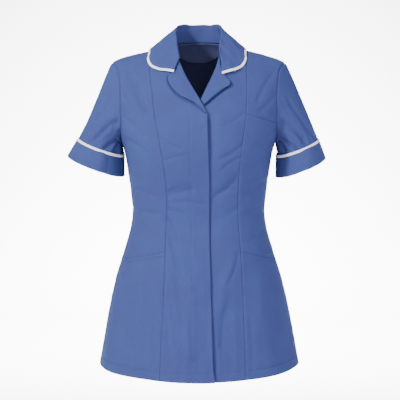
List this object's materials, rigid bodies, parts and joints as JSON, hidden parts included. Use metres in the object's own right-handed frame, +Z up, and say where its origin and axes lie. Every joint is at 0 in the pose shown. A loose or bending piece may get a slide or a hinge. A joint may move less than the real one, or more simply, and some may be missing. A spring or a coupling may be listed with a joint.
{
  "type": "medical tunic",
  "caption": "Short-sleeved fitted tunic with an open collar, edged collar and cuffs, a covered front closing and pockets set in the seams; hollow, filled out as worn.",
  "frame": {"origin": "between the two points where the neck edge meets the shoulder seams, where the wearer's shoulders carry the tunic", "axes": "+X to the wearer's left, -Y out of the front, +Z up from the hem to the collar"},
  "size_m": [0.5557, 0.3037, 0.7432],
  "materials": {
    "tunic_cloth": "matt woven polyester and cotton",
    "facing_cloth": "matt woven polyester and cotton",
    "edging_cloth": "matt woven polyester and cotton"
  },
  "bodies": {
    "root": {"front_centre_right": "tunic_cloth", "front_centre_left": "tunic_cloth", "fly_placket": "tunic_cloth", "side_front_right": "tunic_cloth", "side_front_left": "tunic_cloth", "upper_side_front_left": "tunic_cloth", "hip_pocket_right": "tunic_cloth", "hip_pocket_left": "tunic_cloth", "back": "tunic_cloth", "back_neck_facing": "facing_cloth", "lapel_right": "tunic_cloth", "lapel_left": "tunic_cloth", "collar": "tunic_cloth", "collar_edging": "edging_cloth", "sleeve_right": "tunic_cloth", "sleeve_left": "tunic_cloth", "cuff_right": "tunic_cloth", "cuff_left": "tunic_cloth", "cuff_edging_right": "edging_cloth", "cuff_edging_left": "edging_cloth"}
  },
  "joints": []
}
